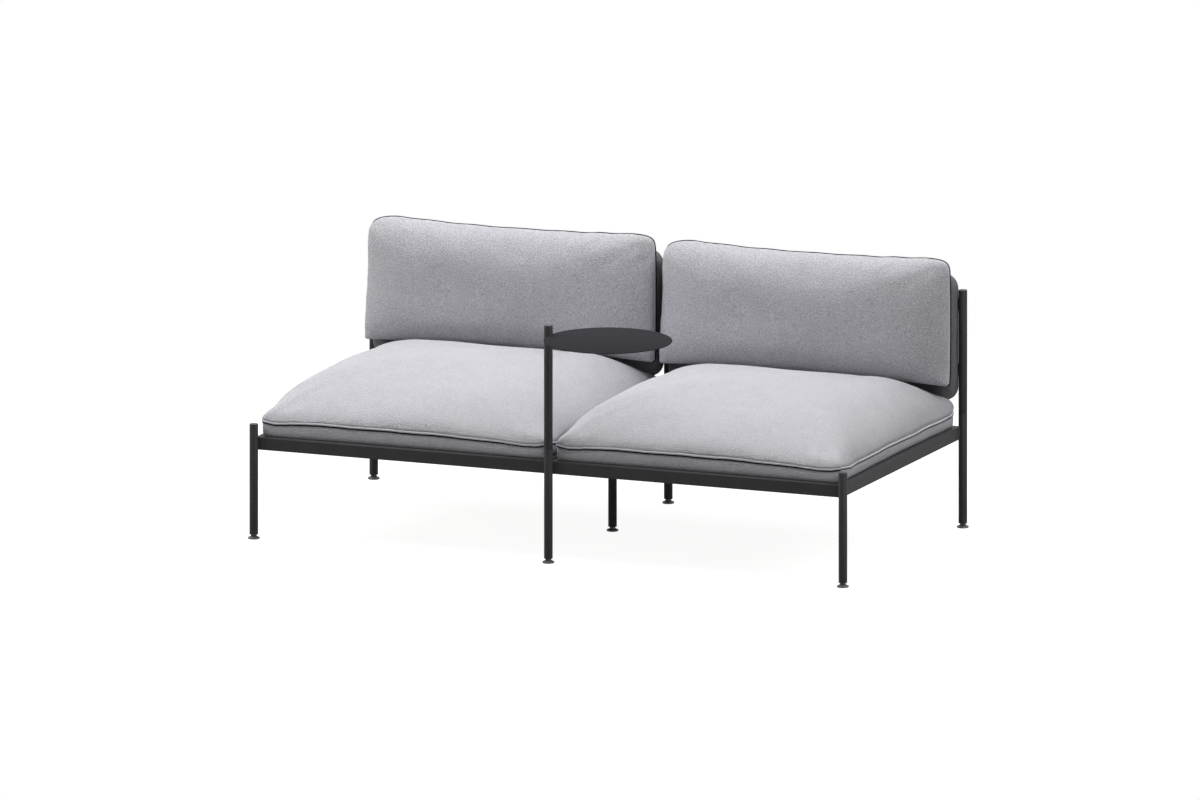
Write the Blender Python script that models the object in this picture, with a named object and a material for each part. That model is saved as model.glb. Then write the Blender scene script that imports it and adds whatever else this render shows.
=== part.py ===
"""Two-seater modular sofa: two square seat modules on round steel legs, with a swivelling side table.

Metres, with +Z up, +X to the right seen from the front and +Y to the back. The origin is on the floor
under the middle front leg, whose axis is also the axis that the side table turns about.
"""

import math

import bmesh
import bpy
from mathutils import Matrix, Vector

# Driving dimensions of the frame
MODULE = 0.800  # from leg axis to leg axis, across and front to back
GAP = 0.0003  # kept between faces that touch
TUBE_RADIUS = 0.011
TUBE_WALL = 0.0015
TUBE_CHAMFER = 0.0004
LEG_BOTTOM = 0.0115
LEG_TOP = 0.293
POST_TOP = 0.6085
CENTRE_LEG_BACK = 0.428  # the centre leg stands this far behind the front legs
RAIL_INSET = 0.0027  # the rails' outer faces lie this far inside the leg axes
RAIL_BOTTOM = 0.2281
RAIL_HEIGHT = 0.0325
RAIL_WIDTH = 0.020
RAIL_WALL = 0.0015
RAIL_CORNER = 0.002
LEDGE_WIDTH = 0.012
LEDGE_THICKNESS = 0.002
CORNER_ARM = 0.048
BEARER_PLATE_LENGTH = 0.060
BEARER_PLATE_THICKNESS = 0.003

# Caps, spigots and levelling feet
CAP_HEAD = 0.0015
CAP_PLUG = 0.012
SPIGOT_LENGTH = 0.090
SPIGOT_CLEARANCE = 0.0003
INSERT_LENGTH = 0.020
STEM_RADIUS = 0.004
STEM_CLEARANCE = 0.0003
STEM_LENGTH = 0.040
NECK_RADIUS = 0.0075
PAD_RADIUS = 0.015
PAD_EDGE = 0.0038
PAD_HEIGHT = 0.0064
PAD_CROWN_RADIUS = 0.0095
SOCKET_DEPTH = 0.003

# Side table
DISC_RADIUS = 0.162
DISC_THICKNESS = 0.002
DISC_TOP = 0.584

# Seat, back panels and cushions
DECK_THICKNESS = 0.012
DECK_CLEARANCE = 0.001
DECK_CORNER = 0.015
PANEL_BOTTOM = 0.325
PANEL_TOP = 0.650
PANEL_THICKNESS = 0.040
PANEL_CLEARANCE = 0.0005  # from a post to the panel's side edge
PANEL_CORNER = 0.037
PANEL_FRONT_EDGE = 0.010
PANEL_REAR_EDGE = 0.004
TAB_REACH = 0.040
TAB_HEIGHT = 0.036
TAB_THICKNESS = 0.003
TAB_CORNER = 0.008
TAB_FROM_EDGE = 0.060
SCREW_RADIUS = 0.003
SCREW_LENGTH = 0.020
SCREW_CLEARANCE = 0.0003
SCREW_HEAD_RADIUS = 0.0058
SCREW_HEAD_HEIGHT = 0.0028
CUSHION_INSET = 0.018  # from the leg axes to the cushions' straight sides
PIPING_RADIUS = 0.003
PIPING_REACH = 0.007  # how far the corners of the piping stand out of the sides
SEAT_SIDE_HEIGHT = 0.036
SEAT_CROWN = 0.131
SEAT_REAR_INSET = 0.030
SEAT_DRAWN_IN = (0.006, 0.006)  # how far the middle of a side lies inside the line of its corners
SEAT_FLATNESS = 2.5
SEAT_EARS = (70.0, 70.0)  # squareness of the corners of the piping, at the near side and at the far side
BACK_SIDE_HEIGHT = 0.024
BACK_CROWN = 0.082
BACK_BOTTOM = 0.373
BACK_TOP = 0.700
BACK_DRAWN_IN = (-0.003, 0.011)
BACK_FLATNESS = 3.0
BACK_EARS = (70.0, 12.0)

# How finely the round and soft forms are cut
TUBE_SIDES = 20
STEM_SIDES = 12
DISC_SIDES = 80
CORNER_STEPS = 5
CUSHION_SIDE_POINTS = 9
CROWN_RINGS = (0.995, 0.98, 0.955, 0.92, 0.87, 0.80, 0.71, 0.59, 0.45, 0.28, 0.12)

# Shape of a filled cushion: how fast its crown rises, and how square its outline is on top and near the edge
CROWN_FULLNESS = 2.4
CROWN_SQUARENESS = 2.7
EDGE_SQUARENESS = 10.8

# The seat's rear, which the back cushion bears on
PRESS_RUN = 0.140
PRESS_SHARE = 0.66
PRESS_CURVE = 2.6
PRESS_SPREAD = 6.0

# Colour, roughness and metallic value of each finish
FINISHES = {
    "powder_coat": ((0.030, 0.030, 0.033), 0.42, 0.0),
    "black_plastic": ((0.020, 0.020, 0.022), 0.50, 0.0),
    "zinc_plate": ((0.35, 0.35, 0.36), 0.35, 1.0),
    "black_zinc": ((0.030, 0.030, 0.032), 0.40, 1.0),
    "cast_aluminium": ((0.42, 0.42, 0.43), 0.50, 1.0),
    "foot_plastic": ((0.090, 0.090, 0.095), 0.55, 0.0),
    "birch_ply": ((0.55, 0.40, 0.25), 0.60, 0.0),
    "grey_wool": ((0.58, 0.57, 0.61), 0.95, 0.0),
}

FRONT_LEGS = {"front_left": (-MODULE, 0.0), "front_middle": (0.0, 0.0), "front_right": (MODULE, 0.0)}
REAR_LEGS = {"rear_left": (-MODULE, MODULE), "rear_middle": (0.0, MODULE), "rear_right": (MODULE, MODULE)}
CENTRE_LEG = {"centre": (0.0, CENTRE_LEG_BACK)}
SEATS = {"left": -MODULE / 2, "right": MODULE / 2}
RAIL_TOP = RAIL_BOTTOM + RAIL_HEIGHT
BORE_RADIUS = TUBE_RADIUS - TUBE_WALL
SPIGOT_RADIUS = BORE_RADIUS - SPIGOT_CLEARANCE


def clear_scene():
    for obj in list(bpy.data.objects):
        bpy.data.objects.remove(obj, do_unlink=True)


def paint(obj, finish):
    """Gives an object a material of its own in one of the finishes."""
    colour, roughness, metallic = FINISHES[finish]
    material = bpy.data.materials.new(obj.name + "_" + finish)
    material.use_nodes = True
    shader = material.node_tree.nodes["Principled BSDF"]
    shader.inputs["Base Color"].default_value = (*colour, 1.0)
    shader.inputs["Roughness"].default_value = roughness
    shader.inputs["Metallic"].default_value = metallic
    obj.data.materials.clear()
    obj.data.materials.append(material)


def add_object(name, bm, finish, place=(0.0, 0.0, 0.0)):
    """Makes a named, smooth-shaded object of a bmesh, at a place in the scene."""
    bmesh.ops.recalc_face_normals(bm, faces=bm.faces)
    mesh = bpy.data.meshes.new(name)
    bm.to_mesh(mesh)
    bm.free()
    mesh.shade_smooth()
    mesh.set_sharp_from_angle(angle=math.radians(40))
    obj = bpy.data.objects.new(name, mesh)
    obj.location = place
    bpy.context.scene.collection.objects.link(obj)
    if finish:
        paint(obj, finish)
    return obj


def apply_boolean(obj, other, operation):
    """Cuts with, or joins, a helper that the finished model leaves out."""
    other.hide_render = True
    other.display_type = "WIRE"
    modifier = obj.modifiers.new(other.name, "BOOLEAN")
    modifier.operation = operation
    modifier.solver = "EXACT"
    modifier.object = other


def turned(profile, sides, closed=True):
    """Turns (radius, height) points about Z. An open profile starts and ends on the axis."""
    bm = bmesh.new()
    verts = [bm.verts.new((radius, 0.0, height)) for radius, height in profile]
    ring = verts + verts[:1] if closed else verts
    edges = [bm.edges.new(pair) for pair in zip(ring, ring[1:])]
    bmesh.ops.spin(
        bm, geom=verts + edges, cent=(0, 0, 0), axis=(0, 0, 1), angle=math.tau, steps=sides, use_merge=True
    )
    bmesh.ops.remove_doubles(bm, verts=bm.verts, dist=1e-6)
    return bm


def arc(centre, radius, start, end, steps):
    """Points on an arc, with its angles in degrees and both ends included."""
    angles = [math.radians(start + (end - start) * step / steps) for step in range(steps + 1)]
    return [(centre[0] + radius * math.cos(a), centre[1] + radius * math.sin(a)) for a in angles]


def rounded_rectangle(low, high, radius, steps=CORNER_STEPS):
    """Outline, anticlockwise, of a rectangle with round corners."""
    corners = (
        ((high[0] - radius, low[1] + radius), 270),
        ((high[0] - radius, high[1] - radius), 0),
        ((low[0] + radius, high[1] - radius), 90),
        ((low[0] + radius, low[1] + radius), 180),
    )
    return [point for centre, start in corners for point in arc(centre, radius, start, start + 90, steps)]


def stacked(rings):
    """A closed body whose skin joins rings of equal length, with a flat face on each end ring."""
    bm = bmesh.new()
    loops = [[bm.verts.new(point) for point in ring] for ring in rings]
    for lower, upper in zip(loops, loops[1:]):
        for i in range(len(lower)):
            j = (i + 1) % len(lower)
            bm.faces.new((lower[i], lower[j], upper[j], upper[i]))
    bm.faces.new(list(reversed(loops[0])))
    bm.faces.new(loops[-1])
    return bm


def plate(outline, low, high):
    """A flat plate of the outline, from one height to another."""
    return stacked([[(x, y, z) for x, y in outline] for z in (low, high)])


# Frame: legs, posts, spigots and caps


def tube_profile(bottom, top):
    """Outer half of a plain tube's profile, up its outside, with both ends eased."""
    ease = TUBE_CHAMFER
    return [
        (TUBE_RADIUS - ease, bottom),
        (TUBE_RADIUS, bottom + ease),
        (TUBE_RADIUS, top - ease),
        (TUBE_RADIUS - ease, top),
    ]


def add_leg(name, place):
    """A leg tube, open at the top, with a plug welded into its foot for the levelling screw."""
    hole = STEM_RADIUS + STEM_CLEARANCE
    insert_top = LEG_BOTTOM + INSERT_LENGTH
    profile = tube_profile(LEG_BOTTOM, LEG_TOP) + [
        (BORE_RADIUS, LEG_TOP),
        (BORE_RADIUS, insert_top),
        (hole, insert_top),
        (hole, LEG_BOTTOM),
    ]
    add_object("leg_" + name, turned(profile, TUBE_SIDES), "powder_coat", (*place, 0.0))


def add_centre_leg(name, place):
    """The short leg under the two inner rails, welded to a plate that carries both."""
    hole = STEM_RADIUS + STEM_CLEARANCE
    insert_top = LEG_BOTTOM + INSERT_LENGTH
    top = RAIL_BOTTOM - GAP
    weld = top - BEARER_PLATE_THICKNESS / 2
    profile = [
        (0.0, weld),
        (TUBE_RADIUS, weld),
        (TUBE_RADIUS, LEG_BOTTOM + TUBE_CHAMFER),
        (TUBE_RADIUS - TUBE_CHAMFER, LEG_BOTTOM),
        (hole, LEG_BOTTOM),
        (hole, insert_top),
        (BORE_RADIUS, insert_top),
        (BORE_RADIUS, weld - TUBE_WALL),
        (0.0, weld - TUBE_WALL),
    ]
    leg = add_object("leg_" + name, turned(profile, TUBE_SIDES, closed=False), "powder_coat", (*place, 0.0))
    half_width = RAIL_INSET + RAIL_WIDTH
    half_length = BEARER_PLATE_LENGTH / 2
    outline = rounded_rectangle((-half_width, -half_length), (half_width, half_length), 2 * RAIL_CORNER)
    bearer = plate(outline, top - BEARER_PLATE_THICKNESS, top)
    apply_boolean(leg, add_object("bearer_plate", bearer, None, (*place, 0.0)), "UNION")


def post_mesh():
    """An upper tube that stands on a leg's top, open at both ends."""
    bottom = LEG_TOP + GAP
    bore = [(BORE_RADIUS, POST_TOP), (BORE_RADIUS, bottom)]
    return turned(tube_profile(bottom, POST_TOP) + bore, TUBE_SIDES)


def add_spigot(name, place):
    """A short inner tube that joins a post to its leg."""
    middle = LEG_TOP + GAP / 2
    low = middle - SPIGOT_LENGTH / 2
    high = middle + SPIGOT_LENGTH / 2
    ease = 2 * TUBE_CHAMFER
    inner = SPIGOT_RADIUS - 1.5 * TUBE_WALL
    profile = [
        (SPIGOT_RADIUS - ease, low),
        (SPIGOT_RADIUS, low + ease),
        (SPIGOT_RADIUS, high - ease),
        (SPIGOT_RADIUS - ease, high),
        (inner, high),
        (inner, low),
    ]
    add_object(name, turned(profile, STEM_SIDES), "zinc_plate", (*place, 0.0))


def add_cap(name, place, seat):
    """A moulded cap: a flat head on the tube's end, and a plug in its bore."""
    low = seat + GAP
    ease = CAP_HEAD / 3
    profile = [
        (0.0, seat - CAP_PLUG),
        (SPIGOT_RADIUS - ease, seat - CAP_PLUG),
        (SPIGOT_RADIUS, seat - CAP_PLUG + ease),
        (SPIGOT_RADIUS, low),
        (TUBE_RADIUS, low),
        (TUBE_RADIUS, low + CAP_HEAD - ease),
        (TUBE_RADIUS - ease, low + CAP_HEAD),
        (0.0, low + CAP_HEAD),
    ]
    add_object(name, turned(profile, TUBE_SIDES, closed=False), "black_plastic", (*place, 0.0))


def tab_levels():
    """Heights of the lower edges of a post's tabs."""
    return (PANEL_BOTTOM + TAB_FROM_EDGE, PANEL_TOP - TAB_FROM_EDGE - TAB_HEIGHT)


def screw_offset():
    """From a post's axis to the middle of its tab, where the panel screw is."""
    return TUBE_RADIUS + PANEL_CLEARANCE + TAB_REACH / 2


def add_tab(name, place, side, low):
    """Helper: a tab that stands out of a rear post, behind the panel's edge."""
    inner_end = BORE_RADIUS + TUBE_WALL / 2
    outer_end = TUBE_RADIUS + PANEL_CLEARANCE + TAB_REACH
    rounded = rounded_rectangle((inner_end, low), (outer_end, low + TAB_HEIGHT), TAB_CORNER)
    far = [point for point in rounded if point[0] > outer_end - TAB_CORNER - GAP]
    outline = sorted(far, key=lambda point: point[1]) + [(inner_end, low + TAB_HEIGHT), (inner_end, low)]
    rings = [[(side * x, y, z) for x, z in outline] for y in (0.0, TAB_THICKNESS)]
    return add_object(name, stacked(rings), None, (*place, 0.0))


def add_screw(name, place, side, low):
    """Helper: the dome-headed screw that passes forwards through a tab into the panel."""
    head = TAB_THICKNESS + SCREW_HEAD_HEIGHT
    profile = [
        (0.0, TAB_THICKNESS - SCREW_LENGTH),
        (SCREW_RADIUS, TAB_THICKNESS - SCREW_LENGTH),
        (SCREW_RADIUS, TAB_THICKNESS / 2),
        (SCREW_HEAD_RADIUS, TAB_THICKNESS / 2),
        (SCREW_HEAD_RADIUS, TAB_THICKNESS + SCREW_HEAD_HEIGHT / 3),
        (2 * SCREW_HEAD_RADIUS / 3, head),
        (0.0, head),
    ]
    middle = (place[0] + side * screw_offset(), place[1], low + TAB_HEIGHT / 2)
    screw = add_object(name, turned(profile, STEM_SIDES, closed=False), None, middle)
    screw.rotation_euler.x = -math.pi / 2
    return screw


def add_rear_post(name, place, sides):
    """A rear post with two screwed tabs welded to each side that faces a back panel."""
    post = add_object("rear_post_" + name, post_mesh(), "powder_coat", (*place, 0.0))
    for side in sides:
        for low in tab_levels():
            label = f"{name}_{'right' if side > 0 else 'left'}_{round(low * 1000)}"
            apply_boolean(post, add_tab("tab_" + label, place, side, low), "UNION")
            apply_boolean(post, add_screw("screw_" + label, place, side, low), "UNION")


# Levelling feet


def add_foot(name, place):
    """A pad that stays put on the floor, and the screw that turns in it."""
    socket = STEM_RADIUS + STEM_CLEARANCE
    socket_floor = PAD_HEIGHT - SOCKET_DEPTH
    pad = [
        (0.0, 0.0),
        (PAD_RADIUS - TUBE_CHAMFER, 0.0),
        (PAD_RADIUS, TUBE_CHAMFER),
        (PAD_RADIUS, PAD_EDGE),
        (PAD_CROWN_RADIUS, PAD_HEIGHT),
        (socket, PAD_HEIGHT),
        (socket, socket_floor),
        (0.0, socket_floor),
    ]
    add_object("foot_pad_" + name, turned(pad, TUBE_SIDES, closed=False), "foot_plastic", (*place, 0.0))
    neck_low = PAD_HEIGHT + GAP
    neck_high = LEG_BOTTOM - GAP
    tip = neck_high + STEM_LENGTH
    stem = [
        (0.0, socket_floor + GAP),
        (STEM_RADIUS, socket_floor + GAP),
        (STEM_RADIUS, neck_low),
        (NECK_RADIUS, neck_low),
        (NECK_RADIUS, neck_high),
        (STEM_RADIUS, neck_high),
        (STEM_RADIUS, tip - STEM_RADIUS / 4),
        (3 * STEM_RADIUS / 4, tip),
        (0.0, tip),
    ]
    add_object("foot_stem_" + name, turned(stem, STEM_SIDES, closed=False), "black_zinc", (*place, 0.0))


# Seat frames: box rails mitred round each module, on cast corners inside them


def rail_mesh():
    """The front rail of a module that is centred on the origin, mitred at both ends."""
    half = MODULE / 2 - RAIL_INSET
    outer = rounded_rectangle((0.0, RAIL_BOTTOM), (RAIL_WIDTH, RAIL_TOP), RAIL_CORNER, 3)
    ledge_top = RAIL_TOP - DECK_THICKNESS - GAP
    ledge = [
        (RAIL_WIDTH, ledge_top - LEDGE_THICKNESS),
        (RAIL_WIDTH + LEDGE_WIDTH, ledge_top - LEDGE_THICKNESS),
        (RAIL_WIDTH + LEDGE_WIDTH, ledge_top),
        (RAIL_WIDTH, ledge_top),
    ]
    first_corner = 4
    outer[first_corner:first_corner] = ledge
    wall = RAIL_WALL
    inner = [
        (wall, RAIL_BOTTOM + wall),
        (RAIL_WIDTH - wall, RAIL_BOTTOM + wall),
        (RAIL_WIDTH - wall, RAIL_TOP - wall),
        (wall, RAIL_TOP - wall),
    ]
    bm = bmesh.new()
    ends = []
    for side in (-1, 1):
        loops = []
        for outline in (outer, inner):
            reach = [half - depth - GAP / 2 for depth, _ in outline]
            points = [(side * end, depth - half, height) for end, (depth, height) in zip(reach, outline)]
            loops.append([bm.verts.new(point) for point in points])
        ends.append(loops)
    for left, right in zip(*ends):
        for i in range(len(left)):
            j = (i + 1) % len(left)
            bm.faces.new((left[i], left[j], right[j], right[i]))
    for loops in ends:
        rim = [bm.edges.get((loop[i], loop[i - 1])) for loop in loops for i in range(len(loop))]
        bmesh.ops.triangle_fill(bm, use_beauty=True, use_dissolve=False, edges=rim)
    return bm


def corner_mesh():
    """The L-shaped block inside the front left corner of a module that is centred on the origin."""
    inset = RAIL_WALL + GAP
    start = -(MODULE / 2 - RAIL_INSET) + inset
    width = RAIL_WIDTH - 2 * inset
    outline = [
        (start, start),
        (start + CORNER_ARM, start),
        (start + CORNER_ARM, start + width),
        (start + width, start + width),
        (start + width, start + CORNER_ARM),
        (start, start + CORNER_ARM),
    ]
    return plate(outline, RAIL_BOTTOM + inset, RAIL_TOP - inset)


def add_leg_cutters():
    """A cylinder round each leg, which hollows the seat that a frame's corner has for it."""
    cutters = {}
    for name, place in {**FRONT_LEGS, **REAR_LEGS}.items():
        radius = TUBE_RADIUS + GAP
        low = RAIL_BOTTOM - RAIL_HEIGHT
        profile = [(0.0, low), (radius, low), (radius, RAIL_TOP + RAIL_HEIGHT), (0.0, RAIL_TOP + RAIL_HEIGHT)]
        cylinder = turned(profile, TUBE_SIDES, closed=False)
        cutters[place] = add_object("seat_of_leg_" + name, cylinder, None, (*place, 0.0))
    return cutters


def add_seat_frame(side, centre_x, cutters):
    """Four rails and four corner blocks, each the front one turned by quarter turns."""
    half = MODULE / 2
    left, right = centre_x - half, centre_x + half
    corners = [(left, 0.0), (right, 0.0), (right, MODULE), (left, MODULE)]
    place = (centre_x, half, 0.0)
    rail = rail_mesh()
    block = corner_mesh()
    for turn, (rail_name, corner_name) in enumerate(
        (("front", "front_left"), ("right", "front_right"), ("rear", "rear_right"), ("left", "rear_left"))
    ):
        rail_object = add_object(f"rail_{side}_{rail_name}", rail.copy(), "powder_coat", place)
        block_object = add_object(f"corner_block_{side}_{corner_name}", block.copy(), "cast_aluminium", place)
        for obj, ends in ((rail_object, (turn, (turn + 1) % 4)), (block_object, (turn,))):
            obj.rotation_euler.z = turn * math.pi / 2
            for end in ends:
                apply_boolean(obj, cutters[corners[end]], "DIFFERENCE")
    rail.free()
    block.free()


def add_seat_deck(side, centre_x):
    """The plywood that carries a seat cushion, let in flush with the rails' tops."""
    half = MODULE / 2 - RAIL_INSET - RAIL_WIDTH - DECK_CLEARANCE
    outline = rounded_rectangle((-half, -half), (half, half), DECK_CORNER)
    deck = plate(outline, RAIL_TOP - DECK_THICKNESS, RAIL_TOP)
    add_object("seat_deck_" + side, deck, "birch_ply", (centre_x, MODULE / 2, 0.0))


# Side table


def add_side_table(place):
    """A steel disc welded by its rim to a post that turns in the middle front leg."""
    add_object("table_post", post_mesh(), "powder_coat", (*place, 0.0))
    add_spigot("table_spigot", place)
    add_cap("table_cap", place, POST_TOP)
    outline = arc((DISC_RADIUS, 0.0), DISC_RADIUS, 0, 360, DISC_SIDES)[:-1]
    disc = add_object(
        "table_disc", plate(outline, DISC_TOP - DISC_THICKNESS, DISC_TOP), "powder_coat", (*place, 0.0)
    )
    radius = TUBE_RADIUS + GAP
    low = DISC_TOP - TUBE_RADIUS
    high = DISC_TOP + TUBE_RADIUS
    notch = turned([(0.0, low), (radius, low), (radius, high), (0.0, high)], TUBE_SIDES, closed=False)
    apply_boolean(disc, add_object("seat_of_disc", notch, None, (*place, 0.0)), "DIFFERENCE")


# Back panels and cushions


def add_back_panel(side, centre_x):
    """An upholstered board between two rear posts, with soft edges and a hole for each of its screws."""
    half = MODULE / 2 - TUBE_RADIUS - PANEL_CLEARANCE
    rear = MODULE - GAP
    front = rear - PANEL_THICKNESS
    soft = arc((PANEL_FRONT_EDGE, PANEL_FRONT_EDGE), PANEL_FRONT_EDGE, 180, 270, 3)
    tight = arc((PANEL_REAR_EDGE, PANEL_REAR_EDGE), PANEL_REAR_EDGE, 180, 270, 2)
    sections = [(inset, front + depth) for depth, inset in soft]
    sections += [(inset, rear - depth) for depth, inset in reversed(tight)]
    rings = []
    for inset, depth in sections:
        outline = rounded_rectangle(
            (-half + inset, PANEL_BOTTOM + inset), (half - inset, PANEL_TOP - inset), PANEL_CORNER - inset, 4
        )
        rings.append([(x, depth, z) for x, z in outline])
    panel = add_object("back_panel_" + side, stacked(rings), "grey_wool", (centre_x, 0.0, 0.0))
    radius = SCREW_RADIUS + SCREW_CLEARANCE
    depth = SCREW_LENGTH - TAB_THICKNESS + SCREW_CLEARANCE
    for end in (-1, 1):
        for low in tab_levels():
            profile = [(0.0, -depth), (radius, -depth), (radius, depth), (0.0, depth)]
            hole = turned(profile, STEM_SIDES, closed=False)
            middle = (centre_x + end * (MODULE / 2 - screw_offset()), MODULE, low + TAB_HEIGHT / 2)
            cutter = add_object(f"screw_hole_{side}_{end}_{round(low * 1000)}", hole, None, middle)
            cutter.rotation_euler.x = -math.pi / 2
            apply_boolean(panel, cutter, "DIFFERENCE")


def cushion_ring(half_x, half_y, height, drawn_in, ears, share=1.0):
    """A ring of a cushion's skin, a share of the way out: square at the piping, nearly round on top."""
    ring = []
    for quarter in range(4):
        for i in range(CUSHION_SIDE_POINTS):
            along = math.sin(math.pi * (i / CUSHION_SIDE_POINTS - 0.5))
            corner = Matrix.Rotation(quarter * math.pi / 2, 2) @ Vector((1.0, along))
            ear = ears[0] if corner.y < 0 else ears[1]
            squareness = CROWN_SQUARENESS
            squareness += (EDGE_SQUARENESS - CROWN_SQUARENESS) * share**3
            squareness += (ear - EDGE_SQUARENESS) * share**60
            size = (abs(corner.x) ** squareness + abs(corner.y) ** squareness) ** (1 / squareness)
            u, v = corner / size
            x = share * u * (half_x - drawn_in[0] * (1 - v * v))
            y = share * v * (half_y - drawn_in[1] * (1 - u * u))
            ring.append((x, y, height))
    return ring


def cushion_rings(half_x, half_y, side_height, crown, flatness, drawn_in, ears):
    """A boxed cushion lying on its flat side: straight sides, a piped seam and a crowned face."""
    bead = PIPING_RADIUS
    half_drawn = [depth / 2 for depth in drawn_in]
    rings = [
        cushion_ring(half_x - bead, half_y - bead, 0.0, half_drawn, ears),
        cushion_ring(half_x, half_y, bead, half_drawn, ears),
        cushion_ring(half_x, half_y, side_height - 2 * bead, half_drawn, ears),
    ]
    for angle in (225, 300, 0, 60, 135):
        out = PIPING_REACH + bead * (math.cos(math.radians(angle)) - 1)
        height = side_height + bead * math.sin(math.radians(angle))
        rings.append(cushion_ring(half_x + out, half_y + out, height, drawn_in, ears))
    seam = side_height + bead / 2
    reach = (half_x + PIPING_REACH, half_y + PIPING_REACH)
    for share in CROWN_RINGS:
        height = seam + crown * (1 - share**flatness) ** (1 / CROWN_FULLNESS)
        rings.append(cushion_ring(*reach, height, drawn_in, ears, share))
    return rings


def pressed_point(point, half_x, panel_face):
    """Where a point of the seat's crown lies with the back cushion resting on it."""
    x, y, z = point
    seam = SEAT_SIDE_HEIGHT + PIPING_RADIUS
    depth = max(0.0, (y - panel_face) / PRESS_RUN + 1)
    if z < seam:
        return point
    pressed = PRESS_SHARE * depth**PRESS_CURVE * (1 - abs(x / half_x) ** PRESS_SPREAD)
    return (x, y, seam + (z - seam) * (1 - pressed))


def add_seat_cushion(side, centre_x):
    """A loose seat cushion on its deck."""
    front = CUSHION_INSET
    rear = MODULE - SEAT_REAR_INSET
    half_x = MODULE / 2 - CUSHION_INSET
    half_y = (rear - front) / 2
    rings = cushion_rings(
        half_x, half_y, SEAT_SIDE_HEIGHT, SEAT_CROWN, SEAT_FLATNESS, SEAT_DRAWN_IN, SEAT_EARS
    )
    panel_face = MODULE - GAP - PANEL_THICKNESS - (front + rear) / 2
    rings = [[pressed_point(point, half_x + PIPING_REACH, panel_face) for point in ring] for ring in rings]
    place = (centre_x, (front + rear) / 2, RAIL_TOP + GAP)
    add_object("seat_cushion_" + side, stacked(rings), "grey_wool", place)


def add_back_cushion(side, centre_x):
    """A back cushion, which stands with its flat side against the panel."""
    half_height = (BACK_TOP - BACK_BOTTOM) / 2 - PIPING_REACH
    half_width = MODULE / 2 - CUSHION_INSET
    rings = cushion_rings(
        half_width, half_height, BACK_SIDE_HEIGHT, BACK_CROWN, BACK_FLATNESS, BACK_DRAWN_IN, BACK_EARS
    )
    rear = MODULE - GAP - PANEL_THICKNESS - GAP
    place = (centre_x, rear, (BACK_TOP + BACK_BOTTOM) / 2)
    obj = add_object("back_cushion_" + side, stacked(rings), "grey_wool", place)
    obj.rotation_euler.x = math.pi / 2


def build_sofa():
    clear_scene()
    for name, place in {**FRONT_LEGS, **REAR_LEGS}.items():
        add_leg(name, place)
    for name, place in CENTRE_LEG.items():
        add_centre_leg(name, place)
    for name, place in {**FRONT_LEGS, **REAR_LEGS, **CENTRE_LEG}.items():
        add_foot(name, place)
    for name in ("front_left", "front_right"):
        add_cap("leg_cap_" + name, FRONT_LEGS[name], LEG_TOP)
    for name, sides in (("left", (1,)), ("middle", (-1, 1)), ("right", (-1,))):
        place = REAR_LEGS["rear_" + name]
        add_rear_post(name, place, sides)
        add_spigot("post_spigot_" + name, place)
        add_cap("post_cap_" + name, place, POST_TOP)
    add_side_table(FRONT_LEGS["front_middle"])
    cutters = add_leg_cutters()
    for side, centre_x in SEATS.items():
        add_seat_frame(side, centre_x, cutters)
        add_seat_deck(side, centre_x)
        add_seat_cushion(side, centre_x)
        add_back_panel(side, centre_x)
        add_back_cushion(side, centre_x)


build_sofa()
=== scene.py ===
import math

import bmesh
import bpy
import numpy as np
from mathutils import Matrix, Vector
from mathutils.kdtree import KDTree


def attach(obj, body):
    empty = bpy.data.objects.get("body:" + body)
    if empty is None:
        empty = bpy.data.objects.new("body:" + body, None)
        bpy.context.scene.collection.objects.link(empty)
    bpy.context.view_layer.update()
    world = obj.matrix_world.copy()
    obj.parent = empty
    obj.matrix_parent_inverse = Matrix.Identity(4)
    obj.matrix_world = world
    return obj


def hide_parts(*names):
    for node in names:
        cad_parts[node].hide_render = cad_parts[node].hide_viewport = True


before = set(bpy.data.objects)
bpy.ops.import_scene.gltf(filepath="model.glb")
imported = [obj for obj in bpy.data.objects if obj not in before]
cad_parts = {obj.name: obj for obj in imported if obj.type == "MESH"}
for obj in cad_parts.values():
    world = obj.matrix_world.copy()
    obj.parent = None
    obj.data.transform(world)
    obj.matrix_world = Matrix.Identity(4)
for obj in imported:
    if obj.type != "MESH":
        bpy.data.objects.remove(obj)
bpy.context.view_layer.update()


# The camera. The photograph is a parallel view from 22 degrees right of the front and 12 degrees up,
# 3.02 m across, with the sofa's middle front foot a little left of its middle.
PHOTO_WIDTH = 3.0186
PHOTO_MIDDLE = (0.1299, 0.4095)
view_right = Vector((0.92617, 0.37712, 0.0))
view_up = Vector((-0.07643, 0.18771, 0.97925))
view_back = view_right.cross(view_up)
camera = bpy.data.objects.new("parallel_camera", bpy.data.cameras.new("parallel_camera"))
camera.data.type = "ORTHO"
camera.data.ortho_scale = PHOTO_WIDTH
camera.data.clip_end = 60.0
turn = Matrix((view_right, view_up, view_back)).transposed().to_4x4()
place = view_right * PHOTO_MIDDLE[0] + view_up * PHOTO_MIDDLE[1] + view_back * 8.0
camera.matrix_world = Matrix.Translation(place) @ turn
bpy.context.scene.collection.objects.link(camera)
bpy.context.scene.camera = camera


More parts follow.
